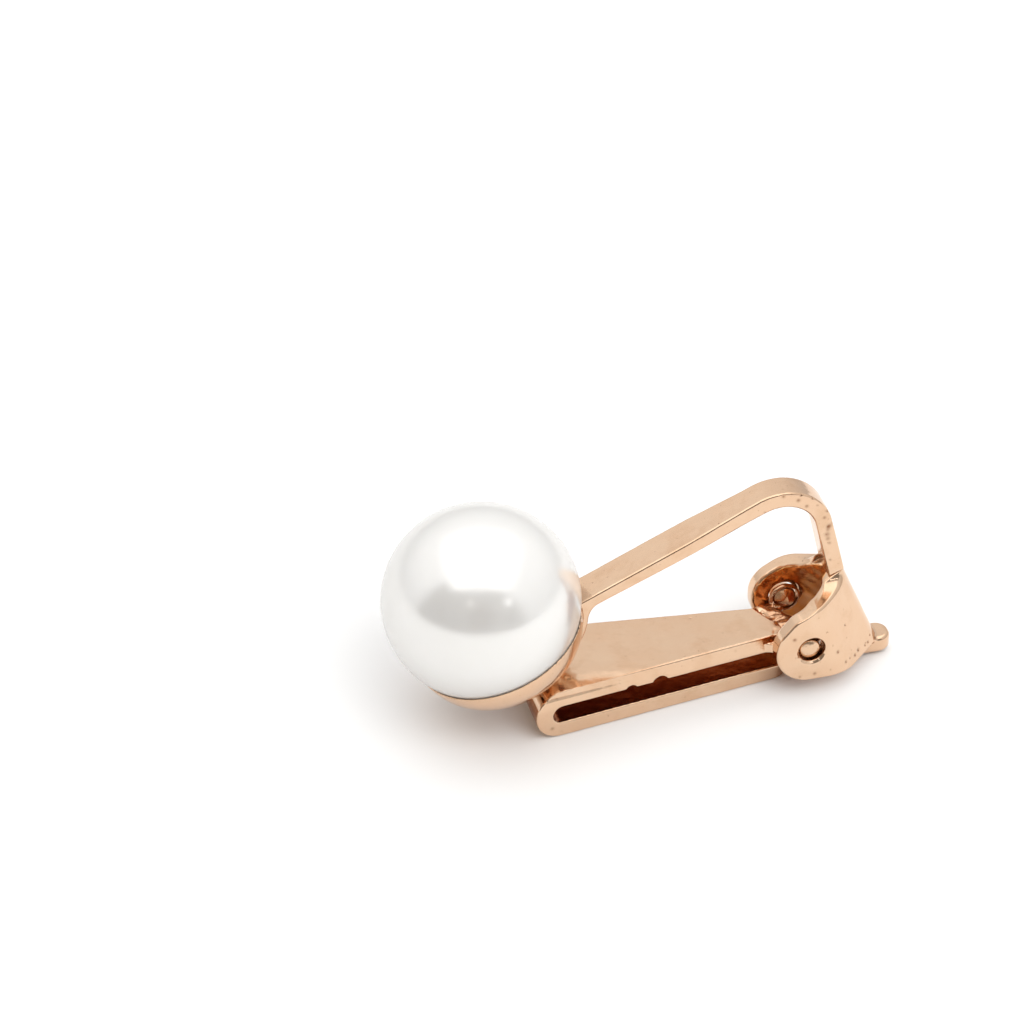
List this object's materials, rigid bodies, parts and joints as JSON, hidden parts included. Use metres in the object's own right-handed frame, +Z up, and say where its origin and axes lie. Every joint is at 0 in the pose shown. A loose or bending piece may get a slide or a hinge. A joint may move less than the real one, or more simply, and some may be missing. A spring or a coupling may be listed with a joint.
{
  "type": "clip-on pearl earring",
  "caption": "Clip-on earring: a white pearl in a shallow rose gold cup, a strap bowed over the lobe and a hinged, folded spring paddle.",
  "frame": {"origin": "middle of the bounding box in plan, on the surface that the earring lies on, under the paddle's lower leaf", "axes": "+X from the pearl to the hinge and its tab, +Y along the hinge pins, +Z up from the surface that it lies on"},
  "size_m": [0.0236, 0.0088, 0.0108],
  "materials": {
    "nacre": "white pearl nacre with a soft sheen",
    "frame_gold": "polished rose gold with small pits at the solder",
    "paddle_gold": "polished rose gold with fine wear",
    "pin_gold": "rose gold, tips hammered and worn"
  },
  "bodies": {
    "frame": {"pearl": "nacre", "clip_frame": "frame_gold"},
    "paddle": {"paddle": "paddle_gold", "pin_near": "pin_gold", "pin_far": "pin_gold"}
  },
  "joints": [
    {"name": "paddle_hinge", "type": "hinge", "parent": "frame", "child": "paddle", "pos_m": [0.00727, 0, 0.00246], "axis": [0, -1, 0], "range_deg": [0, 60]}
  ]
}
